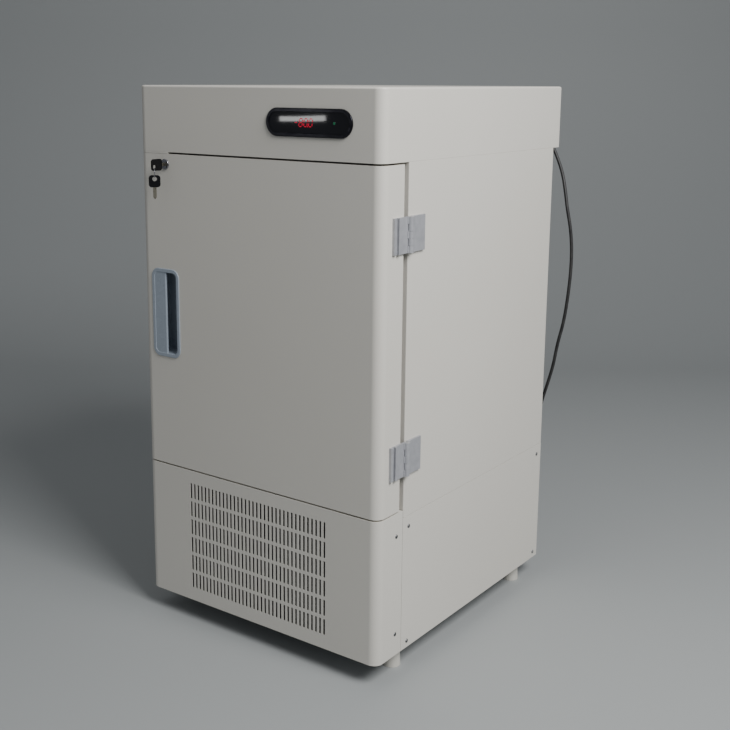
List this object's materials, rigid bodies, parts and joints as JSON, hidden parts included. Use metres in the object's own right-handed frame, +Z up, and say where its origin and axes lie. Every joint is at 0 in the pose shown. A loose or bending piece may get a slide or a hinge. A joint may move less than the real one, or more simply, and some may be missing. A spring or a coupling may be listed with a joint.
{
  "type": "ultra low temperature freezer",
  "caption": "Upright ultra low temperature freezer with an insulated outer door, inner doors, shelves, a recessed handle, a key lock and a grille over its refrigeration unit.",
  "frame": {"origin": "on the floor, in the middle of the overall width and depth without the cord", "axes": "+X to the right as seen from the front, +Y to the back, +Z up"},
  "size_m": [0.6149, 0.847, 1.125],
  "materials": {
    "paint": "warm off-white powder coat",
    "base_paint": "warm off-white powder coat",
    "galvanised": "galvanised sheet",
    "stainless": "brushed stainless",
    "hinge_metal": "satin zinc and aluminium",
    "bright_metal": "bright nickel plating",
    "steel": "plain steel",
    "screw_metal": "dark plated steel",
    "foam": "rigid polyurethane foam",
    "white_plastic": "moulded white plastic",
    "handle_plastic": "blue-grey moulded plastic",
    "foot_plastic": "off-white moulded plastic",
    "black_plastic": "black moulded plastic",
    "smoked_lens": "smoked acrylic",
    "circuit_board": "green laminate",
    "gasket": "grey-brown soft seal",
    "black_rubber": "black rubber",
    "compressor_paint": "black enamel",
    "fin_metal": "mill-finish fins",
    "copper": "copper tube",
    "cord_sheath": "black flexible sheath"
  },
  "bodies": {
    "cabinet": {"hood": "paint", "cabinet_shell": "paint", "lock_strike": "paint", "base_front_panel": "base_paint", "base_side_panel_left": "base_paint", "base_side_panel_right": "base_paint", "base_rear_panel": "base_paint", "base_frame": "galvanised", "fan_shroud": "galvanised", "motor_bracket": "galvanised", "inner_liner": "stainless", "shelf_rails": "stainless", "shelf_clips": "stainless", "shelf_lower": "stainless", "shelf_middle": "stainless", "shelf_upper": "stainless", "inner_hinge_brackets": "stainless", "cabinet_hinge_leaf_lower": "hinge_metal", "cabinet_hinge_leaf_upper": "hinge_metal", "hinge_pins": "steel", "inner_hinge_pins": "steel", "panel_screws": "screw_metal", "cabinet_foam": "foam", "breaker_frame": "white_plastic", "inner_frame": "white_plastic", "levelling_feet": "foot_plastic", "display_bezel": "black_plastic", "mains_plug": "black_plastic", "cord_gland": "black_plastic", "display_lens": "smoked_lens", "display_board": "circuit_board", "control_unit": "circuit_board", "compressor_grommets": "black_rubber", "compressor": "compressor_paint", "fan_motor": "compressor_paint", "condenser": "fin_metal", "evaporator": "copper", "filter_drier": "copper", "refrigerant_pipes": "copper", "mains_cord": "cord_sheath", "cord_coil": "cord_sheath"},
    "main_door": {"door_skin": "paint", "door_liner": "white_plastic", "door_foam": "foam", "door_gasket": "gasket", "handle_cup": "handle_plastic", "lock_barrel": "bright_metal", "lock_nut": "steel", "door_hinge_leaf_lower": "hinge_metal", "door_hinge_leaf_upper": "hinge_metal"},
    "upper_inner_door": {"inner_door_upper": "white_plastic", "inner_gasket_upper": "gasket"},
    "lower_inner_door": {"inner_door_lower": "white_plastic", "inner_gasket_lower": "gasket"},
    "lock_core": {"lock_plug": "steel", "lock_cam": "steel", "key": "black_plastic"},
    "hanging_key": {"key_ring": "bright_metal", "spare_key": "black_plastic"},
    "fan_wheel": {"fan_blade": "black_plastic"}
  },
  "joints": [
    {"name": "main_door_hinge", "type": "hinge", "parent": "cabinet", "child": "main_door", "pos_m": [0.3063, -0.242, 0.6525], "axis": [0, 0, 1], "range_deg": [0, 115]},
    {"name": "upper_inner_door_hinge", "type": "hinge", "parent": "cabinet", "child": "upper_inner_door", "pos_m": [0.208, -0.218, 0.794], "axis": [0, 0, 1], "range_deg": [0, 92]},
    {"name": "lower_inner_door_hinge", "type": "hinge", "parent": "cabinet", "child": "lower_inner_door", "pos_m": [0.208, -0.218, 0.536], "axis": [0, 0, 1], "range_deg": [0, 92]},
    {"name": "lock_turn", "type": "hinge", "parent": "main_door", "child": "lock_core", "pos_m": [-0.227, -0.324, 0.97], "axis": [0, 1, 0], "range_deg": [0, 90]},
    {"name": "key_swing", "type": "hinge", "parent": "lock_core", "child": "hanging_key", "pos_m": [-0.227, -0.3545, 0.9636], "axis": [0.7071, -0.7071, 0], "range_deg": [-25, 25]},
    {"name": "fan_spin", "type": "hinge", "parent": "cabinet", "child": "fan_wheel", "pos_m": [0, -0.2165, 0.1652], "axis": [0, 1, 0], "continuous": true}
  ],
  "couplings": [
    {"joint": "upper_inner_door_hinge", "follows": "main_door_hinge", "ratio": 0.8},
    {"joint": "lower_inner_door_hinge", "follows": "main_door_hinge", "ratio": 0.8}
  ]
}
